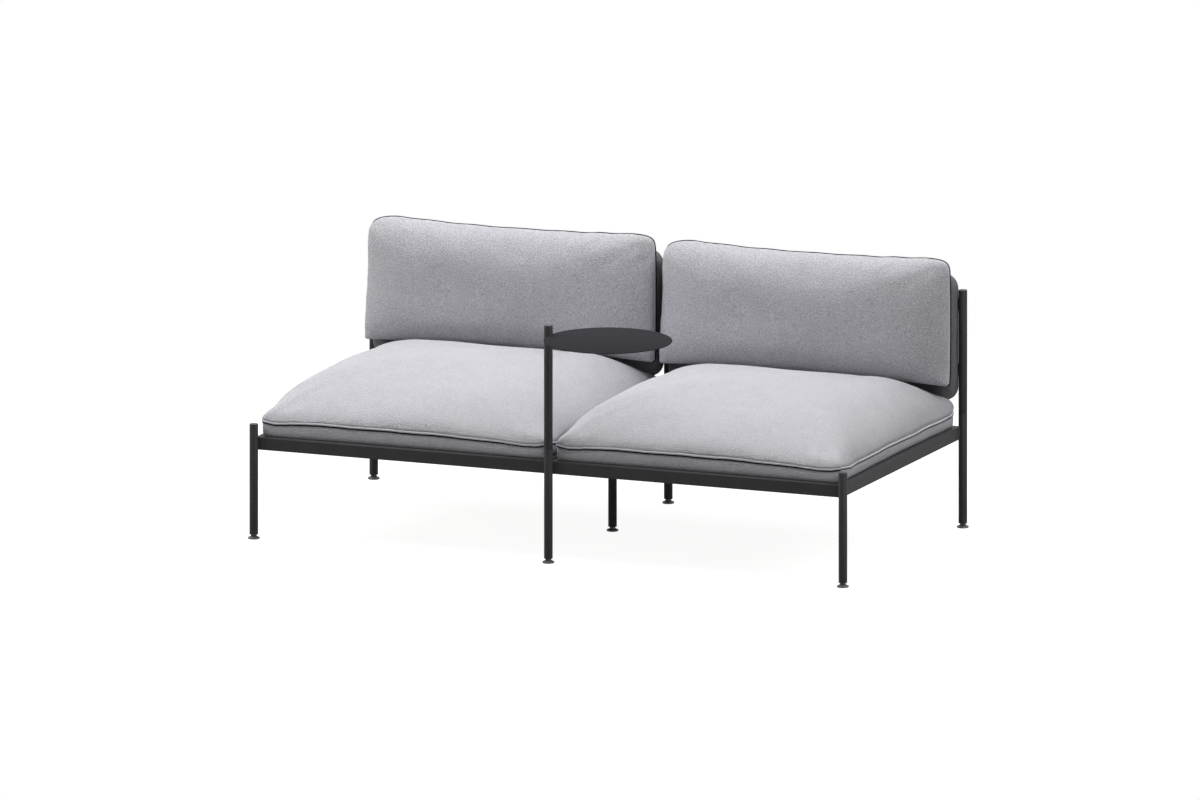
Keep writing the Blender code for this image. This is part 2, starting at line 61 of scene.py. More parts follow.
# Legs: 22 mm steel tube, powder-coated near black with a fine orange peel. Six stand at the corners of
# the seat frames, open at the top, with a plug welded into the foot for the levelling screw. The short
# seventh is welded with a fillet to the plate that carries the two inner rails.
TUBE_RADIUS = 0.011
BORE_RADIUS = 0.0095
TUBE_EDGE = 0.0006
SHANK_HOLE_RADIUS = 0.0043
LEG_BOTTOM = 0.0115
PLUG_TOP = 0.0315
LEG_TOP = 0.293
BEARER_TOP = 0.2278
BEARER_THICKNESS = 0.003
CENTRE_LEG_PLACE = (0.0, 0.428)
LEG_PLACES = {
    "front_left": (-0.8, 0.0),
    "front_middle": (0.0, 0.0),
    "front_right": (0.8, 0.0),
    "rear_left": (-0.8, 0.8),
    "rear_middle": (0.0, 0.8),
    "rear_right": (0.8, 0.8),
}


def shader_node(tree, kind, inputs, **settings):
    """Adds a node whose inputs are plain values or other nodes' outputs."""
    made = tree.nodes.new("ShaderNode" + kind)
    for name, value in settings.items():
        setattr(made, name, value)
    for name, value in inputs.items():
        if isinstance(value, bpy.types.NodeSocket):
            tree.links.new(value, made.inputs[name])
        else:
            made.inputs[name].default_value = value
    return made


def new_finish(name, **constants):
    """A material with its shader's constants set, and the place that its patterns are worked out from."""
    material = bpy.data.materials.new(name)
    material.use_nodes = True
    tree = material.node_tree
    shader = tree.nodes["Principled BSDF"]
    for socket, value in constants.items():
        shader.inputs[socket.replace("_", " ")].default_value = value
    place = shader_node(tree, "TexCoord", {}).outputs["Object"]
    return material, tree, shader, place


def tinted(tree, factor, low, high, start=0.3, stop=0.7):
    """A colour that runs from low to high as the factor goes from start to stop."""
    ramp = shader_node(tree, "ValToRGB", {"Fac": factor})
    for stop_point, position, colour in zip(ramp.color_ramp.elements, (start, stop), (low, high)):
        stop_point.position = position
        stop_point.color = (*colour, 1.0)
    return ramp.outputs["Color"]


def ranged(tree, factor, low, high, start=0.3, stop=0.7):
    """A value that runs from low to high as the factor goes from start to stop."""
    limits = {"Value": factor, "From Min": start, "From Max": stop, "To Min": low, "To Max": high}
    return shader_node(tree, "MapRange", limits).outputs["Result"]


powder_coat, tree, shader, place = new_finish("black_powder_coat", Specular_IOR_Level=0.07)
peel = shader_node(tree, "TexNoise", {"Vector": place, "Scale": 620.0, "Detail": 2.0}).outputs["Fac"]
cloud = shader_node(tree, "TexNoise", {"Vector": place, "Scale": 22.0, "Detail": 4.0}).outputs["Fac"]
coat_colour = tinted(tree, cloud, (0.052, 0.052, 0.0545), (0.062, 0.062, 0.0650))
tree.links.new(coat_colour, shader.inputs["Base Color"])
tree.links.new(ranged(tree, cloud, 0.50, 0.58), shader.inputs["Roughness"])
coat_bump = shader_node(tree, "Bump", {"Strength": 0.35, "Distance": 0.00012, "Height": peel})
tree.links.new(coat_bump.outputs["Normal"], shader.inputs["Normal"])


def circle(radius, height, sides=48, corner_sides=0):
    """Points round the Z axis. With corner_sides, they lie on a polygon of that many sides instead."""
    points = []
    for i in range(sides):
        angle = math.tau * i / sides
        reach = radius
        if corner_sides:
            sector = math.tau / corner_sides
            reach = radius * math.cos(sector / 2) / math.cos(angle % sector - sector / 2)
        points.append((reach * math.cos(angle), reach * math.sin(angle), height))
    return points


def skin(bm, rings, shut=False):
    """Joins rings of points in order. The last joins the first again if shut, or else both get a face."""
    loops = [[bm.verts.new(point) for point in ring] for ring in rings]
    pairs = list(zip(loops, loops[1:]))
    if shut:
        pairs.append((loops[-1], loops[0]))
    for lower, upper in pairs:
        for i in range(len(lower)):
            j = (i + 1) % len(lower)
            bm.faces.new((lower[i], lower[j], upper[j], upper[i]))
    if not shut:
        bm.faces.new(loops[0][::-1])
        bm.faces.new(loops[-1])
    return bm


def rounded(radius, height, ease, outward, upward, steps=3):
    """Profile points of an eased edge, from its flank to its end face."""
    points = []
    for step in range(steps + 1):
        angle = math.pi / 2 * step / steps
        points.append((
            radius - outward * ease * (1 - math.cos(angle)),
            height - upward * ease * (1 - math.sin(angle)),
        ))
    return points


def finished(name, bm, material, body, nodes, place=(0.0, 0.0, 0.0), sharp=38):
    """Makes a bmesh a painted piece that rides on a body and stands for its CAD nodes."""
    bmesh.ops.recalc_face_normals(bm, faces=bm.faces)
    mesh = bpy.data.meshes.new(name)
    bm.to_mesh(mesh)
    bm.free()
    mesh.shade_smooth()
    mesh.set_sharp_from_angle(angle=math.radians(sharp))
    mesh.materials.append(material)
    piece = bpy.data.objects.new(name, mesh)
    piece.location = place
    bpy.context.scene.collection.objects.link(piece)
    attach(piece, body)
    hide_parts(*nodes)
    return piece


def outer_tube(bottom, top):
    """Profile of a tube's outside, from its lower end to its upper end."""
    lower = rounded(TUBE_RADIUS, bottom, TUBE_EDGE, 1, -1)
    return lower[::-1] + rounded(TUBE_RADIUS, top, TUBE_EDGE, 1, 1)


# The bore, from the plug that is welded into the foot, and the hole in that plug for the screw.
plug_bore = [(BORE_RADIUS, PLUG_TOP), (SHANK_HOLE_RADIUS, PLUG_TOP)]
for name, (x, y) in LEG_PLACES.items():
    profile = outer_tube(LEG_BOTTOM, LEG_TOP)
    profile += [(BORE_RADIUS, LEG_TOP), *plug_bore, (SHANK_HOLE_RADIUS, LEG_BOTTOM)]
    tube = skin(bmesh.new(), [circle(radius, height) for radius, height in profile], shut=True)
    finished("leg_tube_" + name, tube, powder_coat, "frame", ["leg_" + name], (x, y, 0.0))


def rounded_outline(half_x, half_y, corner, height, steps=6):
    """A rectangle with round corners, anticlockwise, at a height."""
    points = []
    for quarter, (side_x, side_y) in enumerate(((1, 1), (-1, 1), (-1, -1), (1, -1))):
        for step in range(steps + 1):
            angle = math.pi / 2 * (quarter + step / steps)
            x = side_x * (half_x - corner) + corner * math.cos(angle)
            points.append((x, side_y * (half_y - corner) + corner * math.sin(angle), height))
    return points


def plate_rings(half_x, half_y, corner, low, high, ease):
    """Rings of a flat plate with round corners and eased edges."""
    steps = ((ease, low), (0.0, low + ease), (0.0, high - ease), (ease, high))
    return [rounded_outline(half_x - inset, half_y - inset, corner - inset, z) for inset, z in steps]


plate_bottom = BEARER_TOP - BEARER_THICKNESS
profile = [(SHANK_HOLE_RADIUS, LEG_BOTTOM)] + rounded(TUBE_RADIUS, LEG_BOTTOM, TUBE_EDGE, 1, -1)[::-1]
profile += [(TUBE_RADIUS, plate_bottom - 0.003), (0.0122, plate_bottom - 0.0012), (0.0142, plate_bottom)]
profile += [(BORE_RADIUS, plate_bottom), *plug_bore]
centre_leg = skin(bmesh.new(), [circle(radius, height) for radius, height in profile], shut=True)
skin(centre_leg, plate_rings(0.0227, 0.030, 0.004, plate_bottom, BEARER_TOP, 0.0005))
place = (*CENTRE_LEG_PLACE, 0.0)
finished("leg_tube_centre", centre_leg, powder_coat, "frame", ["leg_centre"], place)


# Levelling feet: a turned disc of dark grey nylon, 30 mm across, stays put on the floor, and a black
# zinc-plated M8 screw with a round neck turns in it and in the leg's plug.
PAD_RADIUS = 0.015
nylon, tree, shader, place = new_finish("grey_nylon", Specular_IOR_Level=0.45)
grain = shader_node(tree, "TexNoise", {"Vector": place, "Scale": 480.0, "Detail": 3.0}).outputs["Fac"]
tree.links.new(tinted(tree, grain, (0.080, 0.080, 0.085), (0.105, 0.105, 0.112)), shader.inputs["Base Color"])
tree.links.new(ranged(tree, grain, 0.46, 0.58), shader.inputs["Roughness"])
nylon_bump = shader_node(tree, "Bump", {"Strength": 0.3, "Distance": 0.0001, "Height": grain})
tree.links.new(nylon_bump.outputs["Normal"], shader.inputs["Normal"])

black_zinc, tree, shader, place = new_finish("black_zinc", Metallic=1.0)
flow = shader_node(tree, "TexNoise", {"Vector": place, "Scale": 260.0, "Detail": 3.0}).outputs["Fac"]
tree.links.new(tinted(tree, flow, (0.022, 0.022, 0.024), (0.040, 0.040, 0.043)), shader.inputs["Base Color"])
tree.links.new(ranged(tree, flow, 0.34, 0.48), shader.inputs["Roughness"])


def dressed(node, finish):
    """Gives a piece that keeps its CAD shape its finish."""
    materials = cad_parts[node].data.materials
    materials.clear()
    materials.append(finish)


for name, (x, y) in {**LEG_PLACES, "centre": CENTRE_LEG_PLACE}.items():
    profile = [(0.0125, 0.0), (0.0142, 0.0003)] + rounded(PAD_RADIUS, 0.0, 0.0010, 1, -1)[::-1][1:]
    profile += rounded(PAD_RADIUS, 0.0042, 0.0012, 1, 1)
    profile += [(0.0105, 0.0057), (0.0096, 0.0063), (0.0090, 0.0064)]
    profile += [(SHANK_HOLE_RADIUS, 0.0064), (SHANK_HOLE_RADIUS, 0.0034)]
    pad = skin(bmesh.new(), [circle(radius, height, 40) for radius, height in profile])
    body = "foot_pad_body_" + name
    finished("foot_disc_" + name, pad, nylon, body, ["foot_pad_" + name], (x, y, 0.0), 30)
    dressed("foot_stem_" + name, black_zinc)


# Caps: moulded black plastic plugs, pushed into the tops of the two short front legs and of the posts,
# each with a flat head that lies flush with the tube.
black_plastic, tree, shader, place = new_finish("black_plastic", Specular_IOR_Level=0.4)
fleck = shader_node(tree, "TexNoise", {"Vector": place, "Scale": 900.0, "Detail": 2.0}).outputs["Fac"]
tree.links.new(tinted(tree, fleck, (0.016, 0.016, 0.017), (0.024, 0.024, 0.026)), shader.inputs["Base Color"])
tree.links.new(ranged(tree, fleck, 0.44, 0.56), shader.inputs["Roughness"])
POST_TOP = 0.6085
HAIRLINE = 0.0003


def add_cap(name, x, y, seat, body, node):
    """A plug whose head stands a hairline above the tube's end."""
    low = seat + HAIRLINE
    profile = [(0.0087, seat - 0.012), (0.0092, seat - 0.0115), (0.0092, low), (TUBE_RADIUS - 0.0003, low)]
    profile += [(TUBE_RADIUS, low + 0.0003)] + rounded(TUBE_RADIUS, low + 0.0015, 0.0008, 1, 1)
    plug = skin(bmesh.new(), [circle(radius, height) for radius, height in profile])
    finished(name, plug, black_plastic, body, [node], (x, y, 0.0), 30)


add_cap("leg_end_cap_left", -0.8, 0.0, LEG_TOP, "frame", "leg_cap_front_left")
add_cap("leg_end_cap_right", 0.8, 0.0, LEG_TOP, "frame", "leg_cap_front_right")
add_cap("post_end_cap_left", -0.8, 0.8, POST_TOP, "frame", "post_cap_left")
add_cap("post_end_cap_middle", 0.0, 0.8, POST_TOP, "frame", "post_cap_middle")
add_cap("post_end_cap_right", 0.8, 0.8, POST_TOP, "frame", "post_cap_right")
add_cap("table_end_cap", 0.0, 0.0, POST_TOP, "table", "table_cap")


# Rear posts: the same tube, standing on the rear legs. Steel tabs welded to them reach behind the back
# panels, and a dome-headed screw with a hexagon socket passes forwards through each tab.
TAB_LEVELS = (0.385, 0.554)
TAB_HEIGHT = 0.036


def post_rings():
    """The upper tube, open at both ends, a hairline above its leg."""
    bottom = LEG_TOP + HAIRLINE
    profile = outer_tube(bottom, POST_TOP) + [(BORE_RADIUS, POST_TOP), (BORE_RADIUS, bottom)]
    return [circle(radius, height) for radius, height in profile]


def add_tab(bm, side, low):
    """A tab with eased edges and round outer corners, its screw, and the weld bead along the post."""
    centre = (side * 0.0305, 0.0015, low + TAB_HEIGHT / 2)
    lying = plate_rings(0.0210, TAB_HEIGHT / 2, 0.008, -0.0015, 0.0015, 0.0004)
    rings = [[(centre[0] + x, centre[1] - z, centre[2] + y) for x, y, z in ring] for ring in lying]
    skin(bm, rings)
    dome = [(0.0058, 0.0, 0), (0.0058, 0.0007, 0), (0.0052, 0.0017, 0), (0.0042, 0.0024, 0)]
    dome += [(0.0030, 0.0028, 0), (0.0024, 0.0028, 6), (0.0023, 0.0012, 6)]
    head = [circle(radius, height, 36, sides) for radius, height, sides in dome]
    skin(bm, [[(side * 0.0315 + x, 0.003 + z, centre[2] - y) for x, y, z in ring] for ring in head])
    ripple = 0.002
    bead = [circle(0.0016, step * ripple, 10) for step in range(int(TAB_HEIGHT / ripple) - 1)]
    skin(bm, [[(side * 0.0113 + x, 0.0028 + y, low + ripple + z) for x, y, z in ring] for ring in bead])


for name, x, sides in (("left", -0.8, (1,)), ("middle", 0.0, (-1, 1)), ("right", 0.8, (-1,))):
    post = skin(bmesh.new(), post_rings(), shut=True)
    for side in sides:
        for low in TAB_LEVELS:
            add_tab(post, side, low)
    nodes = ["rear_post_" + name]
    finished("back_post_" + name, post, powder_coat, "frame", nodes, (x, 0.8, 0.0))


# Spigots: short inner tubes of bright zinc-plated steel, half in a leg and half in the post above it.
# Three join the rear posts to their legs, and the side table turns on the fourth.
zinc, tree, shader, place = new_finish("zinc_plate", Metallic=1.0)
spangle = shader_node(tree, "TexVoronoi", {"Vector": place, "Scale": 190.0}).outputs["Distance"]
tree.links.new(tinted(tree, spangle, (0.32, 0.32, 0.33), (0.44, 0.44, 0.45)), shader.inputs["Base Color"])
tree.links.new(ranged(tree, spangle, 0.28, 0.42), shader.inputs["Roughness"])
for node in ("post_spigot_left", "post_spigot_middle", "post_spigot_right", "table_spigot"):
    dressed(node, zinc)


# Side table: a 2 mm steel disc, 324 mm across, notched at its rim round the post that carries it. The
# disc has a fine matt texture, the post the frame's coat, and the post turns in the middle front leg.
DISC_RADIUS = 0.162
DISC_TOP = 0.584
RIM_STEPS = 144
NOTCH_STEPS = 20


def disc_outline(inset, height):
    """The disc's edge with the notch for its post, both moved in by an inset."""
    reach = DISC_RADIUS - inset
    notch = TUBE_RADIUS + HAIRLINE + inset
    x = (notch**2 + DISC_RADIUS**2 - reach**2) / (2 * DISC_RADIUS)
    y = math.sqrt(notch**2 - x**2)
    start = math.atan2(y, x - DISC_RADIUS)
    points = []
    for step in range(RIM_STEPS + 1):
        angle = -start + 2 * start * step / RIM_STEPS
        points.append((DISC_RADIUS + reach * math.cos(angle), reach * math.sin(angle), height))
    opening = math.atan2(y, x)
    for step in range(1, NOTCH_STEPS):
        angle = opening - 2 * opening * step / NOTCH_STEPS
        points.append((notch * math.cos(angle), notch * math.sin(angle), height))
    return points


matt_coat, tree, shader, place = new_finish("fine_textured_coat", Specular_IOR_Level=0.02)
speck = shader_node(tree, "TexNoise", {"Vector": place, "Scale": 1500.0, "Detail": 2.0}).outputs["Fac"]
disc_colour = tinted(tree, speck, (0.020, 0.020, 0.0235), (0.026, 0.026, 0.0305))
tree.links.new(disc_colour, shader.inputs["Base Color"])
tree.links.new(ranged(tree, speck, 0.7, 0.8), shader.inputs["Roughness"])
matt_bump = shader_node(tree, "Bump", {"Strength": 0.25, "Distance": 0.0001, "Height": speck})
tree.links.new(matt_bump.outputs["Normal"], shader.inputs["Normal"])
levels = ((0.0005, -0.002), (0.0, -0.0015), (0.0, -0.0005), (0.0002, -0.0001), (0.0005, 0.0))
disc = skin(bmesh.new(), [disc_outline(inset, DISC_TOP + drop) for inset, drop in levels])
table_top = finished("table_top_disc", disc, matt_coat, "table", ["table_disc"], sharp=30)
# The photograph shows no shadow of the disc on the seat below it.
table_top.visible_shadow = False
post = skin(bmesh.new(), post_rings(), shut=True)
finished("table_upright", post, powder_coat, "table", ["table_post"])


# Seat frames: 20 x 32.5 mm box rails, mitred round each module and drawn onto blocks of die-cast
# aluminium inside the corners. Each keeps its CAD shape, with its edges rounded and its ledge.
cast_metal, tree, shader, place = new_finish("cast_aluminium", Metallic=1.0)
sand = shader_node(tree, "TexNoise", {"Vector": place, "Scale": 340.0, "Detail": 5.0}).outputs["Fac"]
tree.links.new(tinted(tree, sand, (0.36, 0.36, 0.37), (0.48, 0.48, 0.49)), shader.inputs["Base Color"])
tree.links.new(ranged(tree, sand, 0.42, 0.6), shader.inputs["Roughness"])
cast_bump = shader_node(tree, "Bump", {"Strength": 0.4, "Distance": 0.0003, "Height": sand})
tree.links.new(cast_bump.outputs["Normal"], shader.inputs["Normal"])
for side in ("left", "right"):
    for rail in ("front", "right", "rear", "left"):
        dressed(f"rail_{side}_{rail}", powder_coat)
    for corner in ("front_left", "front_right", "rear_right", "rear_left"):
        dressed(f"corner_block_{side}_{corner}", cast_metal)


# Seat decks: 12 mm birch plywood, let in flush with the rails' tops. Its faces show a fine long grain and
# its edges the dark glue lines between the plies. A 30 mm rim is painted near black: painted shade for the
# slot under the cushions' boxing, where the ply shows.
PLIES_PER_METRE = 714.0
birch, tree, shader, place = new_finish("birch_plywood", Specular_IOR_Level=0.4)
along = shader_node(tree, "Mapping", {"Vector": place, "Scale": (3.0, 60.0, 60.0)}).outputs["Vector"]
figure = shader_node(tree, "TexNoise", {"Vector": along, "Scale": 1.0, "Detail": 5.0}).outputs["Fac"]
grain_colour = tinted(tree, figure, (0.47, 0.32, 0.19), (0.66, 0.50, 0.32))
height = shader_node(tree, "SeparateXYZ", {"Vector": place}).outputs["Z"]
plies = shader_node(tree, "Math", {0: height, 1: PLIES_PER_METRE}, operation="MULTIPLY").outputs[0]
ply_part = shader_node(tree, "Math", {0: plies}, operation="FRACT").outputs[0]
glue = ranged(tree, ply_part, 1.0, 0.0, 0.0, 0.18)
flat = shader_node(tree, "SeparateXYZ", {"Vector": shader_node(tree, "NewGeometry", {}).outputs["Normal"]})
edge_on = shader_node(tree, "Math", {0: flat.outputs["Z"]}, operation="ABSOLUTE").outputs[0]
on_edge = ranged(tree, edge_on, 0.75, 0.0, 0.2, 0.6)
glue_line = shader_node(tree, "Math", {0: glue, 1: on_edge}, operation="MULTIPLY").outputs[0]
glue_mix = {"Fac": glue_line, "Color1": grain_colour, "Color2": (0.16, 0.09, 0.05, 1.0)}
plain = shader_node(tree, "MixRGB", glue_mix).outputs[0]
# Painted shade: the 30 mm rim is painted near black, standing in for the shade in the slot under the boxing.
spot = shader_node(tree, "VectorMath", {0: place}, operation="ABSOLUTE").outputs[0]
inward = shader_node(tree, "VectorMath", {0: spot, 1: (0.4, 0.4, 0.0)}, operation="SUBTRACT").outputs[0]
margin = shader_node(tree, "VectorMath", {0: inward}, operation="ABSOLUTE").outputs[0]
margin = shader_node(tree, "SeparateXYZ", {"Vector": margin})
farther = {0: margin.outputs["X"], 1: margin.outputs["Y"]}
rim = shader_node(tree, "Math", farther, operation="MAXIMUM").outputs[0]
painted_shade_rim = ranged(tree, rim, 0.0, 1.0, 0.3585, 0.3600)
painted_shade_rim_mix = {"Fac": painted_shade_rim, "Color1": plain, "Color2": (0.040, 0.040, 0.042, 1.0)}
tree.links.new(shader_node(tree, "MixRGB", painted_shade_rim_mix).outputs[0], shader.inputs["Base Color"])
tree.links.new(ranged(tree, figure, 0.5, 0.65), shader.inputs["Roughness"])
for side in ("left", "right"):
    dressed("seat_deck_" + side, birch)


# Seat cushions: a filled pillow in pale lilac-grey felted wool, piped all round and boxed below. A thin black
# cord in the slot between piping and boxing is painted shade for the deep shadow under the piping. The
# pillow's cover is drawn in rings from its outline in the photograph, and then blown out by its filling like
# cloth.
YARN_PITCH = 0.0017
wool, tree, shader, place = new_finish("lilac_grey_wool", Specular_IOR_Level=0.04, Roughness=0.95)
shader.inputs["Sheen Weight"].default_value = 0.04
shader.inputs["Sheen Roughness"].default_value = 0.5
slub = shader_node(tree, "TexNoise", {"Vector": place, "Scale": 170.0, "Detail": 2.0})
wander = shader_node(tree, "VectorMath", {0: slub.outputs["Color"], "Scale": 0.0052}, operation="SCALE")
loose = shader_node(tree, "VectorMath", {0: place, 1: wander.outputs[0]}, operation="ADD")
threads = {0: loose.outputs[0], "Scale": math.pi / YARN_PITCH}
thread = shader_node(tree, "VectorMath", threads, operation="SCALE")
wave = shader_node(tree, "VectorMath", {0: thread.outputs[0]}, operation="SINE")
yarn = shader_node(tree, "VectorMath", {0: wave.outputs[0]}, operation="ABSOLUTE")
yarn_parts = shader_node(tree, "SeparateXYZ", {"Vector": yarn.outputs[0]})
first = shader_node(tree, "CombineXYZ", {
    "X": yarn_parts.outputs["Y"], "Y": yarn_parts.outputs["X"], "Z": yarn_parts.outputs["X"],
})
second = shader_node(tree, "CombineXYZ", {
    "X": yarn_parts.outputs["Z"], "Y": yarn_parts.outputs["Z"], "Z": yarn_parts.outputs["Y"],
})
both = {0: first.outputs[0], 1: second.outputs[0]}
crossings = shader_node(tree, "VectorMath", both, operation="MULTIPLY")
facing = shader_node(tree, "NewGeometry", {}).outputs["Normal"]
facing_share = shader_node(tree, "VectorMath", {0: facing, 1: facing}, operation="MULTIPLY")
facing_weave = {0: crossings.outputs[0], 1: facing_share.outputs[0]}
weave = shader_node(tree, "VectorMath", facing_weave, operation="DOT_PRODUCT").outputs["Value"]
fibre = shader_node(tree, "TexNoise", {"Vector": place, "Scale": 330.0, "Detail": 3.0}).outputs["Fac"]
mottle = shader_node(tree, "TexNoise", {"Vector": place, "Scale": 28.0, "Detail": 3.0}).outputs["Fac"]
base = tinted(tree, fibre, (0.545, 0.535, 0.570), (0.725, 0.715, 0.760))
# Painted shade: the wool's colour is darker in the weave's valleys, where the yarns shade each other.
valley_painted_shade = ranged(tree, weave, 0.90, 1.0, 0.0, 0.45)
shaded = shader_node(tree, "MixRGB", {"Fac": 1.0, "Color1": base, "Color2": valley_painted_shade}, blend_type="MULTIPLY")
patch = ranged(tree, mottle, 0.97, 1.03)
wool_mix = {"Fac": 1.0, "Color1": shaded.outputs[0], "Color2": patch}
mixed = shader_node(tree, "MixRGB", wool_mix, blend_type="MULTIPLY")
tree.links.new(mixed.outputs[0], shader.inputs["Base Color"])
felt_inputs = {"Vector": place, "Scale": 290.0, "Detail": 3.0, "Roughness": 0.7}
felt = shader_node(tree, "TexNoise", felt_inputs).outputs["Fac"]
felt_bump = shader_node(tree, "Bump", {"Strength": 1.0, "Distance": 0.0048, "Height": felt}).outputs["Normal"]
weave_inputs = {"Strength": 0.5, "Distance": 0.0003, "Height": weave, "Normal": felt_bump}
weave_bump = shader_node(tree, "Bump", weave_inputs)
tree.links.new(weave_bump.outputs["Normal"], shader.inputs["Normal"])


def dyed(cloth, name, low, high):
    """The same cloth under another name, with its fibres in other colours."""
    other = cloth.copy()
    other.name = name
    for made in other.node_tree.nodes:
        if made.bl_idname == "ShaderNodeValToRGB":
            for stop_point, colour in zip(made.color_ramp.elements, (low, high)):
                stop_point.color = (*colour, 1.0)
    return other


# The bias strip round the piping is stretched smooth, so it has a finer bump. Its colour is a lighter copy of
# the wool: painted light for the lit top of the cord.
piping_wool_painted_light = dyed(wool, "piping_wool_painted_light", (0.60, 0.59, 0.63), (0.76, 0.75, 0.79))
for made in piping_wool_painted_light.node_tree.nodes:
    if made.bl_idname == "ShaderNodeBump":
        made.inputs["Distance"].default_value = 0.0003

PIPING_RADIUS = 0.003
PIPING_REACH = 0.007
SEAT_HALF_X = 0.382
SEAT_HALF_Y = 0.376
SEAT_BOXING = 0.036
SEAT_CROWN = 0.131
SEAT_MIDDLE = (0.394, 0.2609)
# Heights of the seat's piping above its mean, in mm, at places along its sides: 0 to 1 is the front from
# left to right, 1 to 2 the right side, and so on round.
SEAT_WAVES = (
    (0.0, 4.0), (0.05, -0.5), (0.08, 0.5), (0.11, 3.1), (0.17, 5.0), (0.20, 6.0), (0.26, 5.6),
    (0.32, 4.6), (0.38, 5.2), (0.44, 5.8), (0.50, 4.6), (0.56, 4.5), (0.59, 5.5), (0.65, 4.7),
    (0.71, 2.7), (0.77, 2.1), (0.83, 1.2), (0.88, -1.0), (0.92, -2.7), (0.96, -1.6), (1.0, 2.5),
    (1.02, 2.5), (1.06, -2.0), (1.10, -5.5), (1.15, -3.6), (1.22, -4.6), (1.34, -5.0), (1.42, -3.5),
    (1.54, -4.6), (1.66, -5.9), (1.78, -3.5), (1.90, -4.9), (1.97, -3.5), (2.0, 4.0), (2.1, 0.0),
    (2.3, 3.0), (2.5, -1.0), (2.72, 3.5), (2.9, 0.0), (3.0, 4.0), (3.1, 0.0), (3.32, 3.5),
    (3.55, -1.0), (3.78, 4.0), (3.93, 0.0), (4.0, 4.0),
)


def around(per_side):
    """Directions to points round a square, closest at its corners, and their places from 0 to 4."""
    steps = np.arange(per_side) / per_side
    along = np.sin(math.pi * (steps - 0.5))
    ones = np.ones(per_side)
    sides = ((along, -ones), (ones, along), (-along, ones), (-ones, -along))
    u = np.concatenate([side[0] for side in sides])
    v = np.concatenate([side[1] for side in sides])
    places = np.concatenate([quarter + (along + 1) / 2 for quarter in range(4)])
    return u, v, places


def waved(table, places):
    """A smooth line through a table of places and heights in mm, in metres."""
    at, heights = np.array(table).T
    after = np.clip(np.searchsorted(at, places, side="right"), 1, len(at) - 1)
    part = (places - at[after - 1]) / (at[after] - at[after - 1])
    part = part * part * (3 - 2 * part)
    return (heights[after - 1] * (1 - part) + heights[after] * part) / 1000


CROWN_SQUARENESS = 2.7
FRONT_SQUARENESS = 10.8


def outline(u, v, half_x, half_y, drawn_in, ears, share=1.0):
    """A ring of a pillow, a share of the way out: square with ears at the piping, nearly round on top."""
    ear = np.where(v < 0, ears[0], np.where(u < 0, ears[1], ears[2]))
    edge = np.where(v < 0, FRONT_SQUARENESS, ears[3])
    squareness = CROWN_SQUARENESS + (edge - CROWN_SQUARENESS) * share**3 + (ear - edge) * share**60
    size = (np.abs(u) ** squareness + np.abs(v) ** squareness) ** (1 / squareness)
    u, v = u / size, v / size
    x = share * u * (half_x - drawn_in[0] * (1 - v * v))
    y = share * v * (half_y - drawn_in[1] * (1 - u * u))
    return x, y


CROWN_RINGS = 60
# How far the first rings above the piping are pulled in by the stitches.
STITCH_PULL = {1: 0.0035, 2: 0.0012}


def pillow(half_x, half_y, boxing, crown, flatness, drawn_in, ears, waves, shaping, slack_front=0.0):
    """The closed pillow as rings of points, with its flat side down and the part in the boxing set in."""
    u, v, places = around(110)
    lift = waved(waves, places)
    rings = []
    for inset, height in ((0.012, 0.001), (0.008, 0.003), (0.007, boxing - 0.009), (0.005, boxing - 0.005)):
        x, y = outline(u, v, half_x - inset, half_y - inset, drawn_in, ears)
        rings.append(np.stack([x, y, np.full_like(x, height) + lift * height / boxing], 1))
    reach_x, reach_y = half_x + PIPING_REACH, half_y + PIPING_REACH
    x, y = outline(u, v, reach_x - 0.005, reach_y - 0.005, drawn_in, ears)
    rings.append(np.stack([x, y, np.full_like(x, boxing - 0.001) + lift], 1))
    for step in range(1, CROWN_RINGS + 1):
        share = math.cos(math.pi / 2 * (step - 1) / (CROWN_RINGS + 0.5)) ** 0.72
        pull = STITCH_PULL.get(step, 0.0)
        x, y = outline(u, v, reach_x - pull, reach_y - pull, drawn_in, ears, share)
        # How high the ring stands, as a share of the crown: steep at first where the cover is full, and
        # slower towards a slack front.
        full = (1 - share**flatness) ** (1 / 2.4)
        slack = (1 - share**1.8) ** 0.52
        front = np.clip((-y / (share * reach_y) - 0.70) / 0.28, 0.0, 1.0)
        front = slack_front * front * front * (3 - 2 * front)
        height = boxing + 0.0015 + crown * (full + front * (slack - full))
        rings.append(np.stack([x, y, height + lift * share**5], 1))
    return [shaping(ring, boxing, u, v, places) for ring in rings]


def cover_mesh(name, rings):
    """A mesh of rings of equal length, with a face on each end ring."""
    count = len(rings[0])
    faces = [tuple(range(count))[::-1]]
    for row in range(len(rings) - 1):
        for i in range(count):
            j = (i + 1) % count
            faces.append((row * count + i, row * count + j, (row + 1) * count + j, (row + 1) * count + i))
    faces.append(tuple(range((len(rings) - 1) * count, len(rings) * count)))
    mesh = bpy.data.meshes.new(name)
    mesh.from_pydata(np.concatenate(rings).tolist(), [], faces)
    return mesh


def applied(piece):
    """The piece's mesh with its modifiers worked out."""
    graph = bpy.context.evaluated_depsgraph_get()
    return bpy.data.meshes.new_from_object(piece.evaluated_get(graph))


def settled(mesh, values, still, rounds):
    """Vertex values averaged with their neighbours' again and again, except where the cover is held."""
    ends = np.empty(len(mesh.edges) * 2, dtype=np.int64)
    mesh.edges.foreach_get("vertices", ends)
    one, other = ends.reshape(-1, 2).T
    count = len(values)
    shares = np.bincount(one, minlength=count) + np.bincount(other, minlength=count)
    values = values.copy()
    for _ in range(rounds):
        for axis in range(3):
            column = values[:, axis]
            total = np.bincount(one, column[other], count) + np.bincount(other, column[one], count)
            values[:, axis] = np.where(still, values[:, axis], total / shares)
    return values


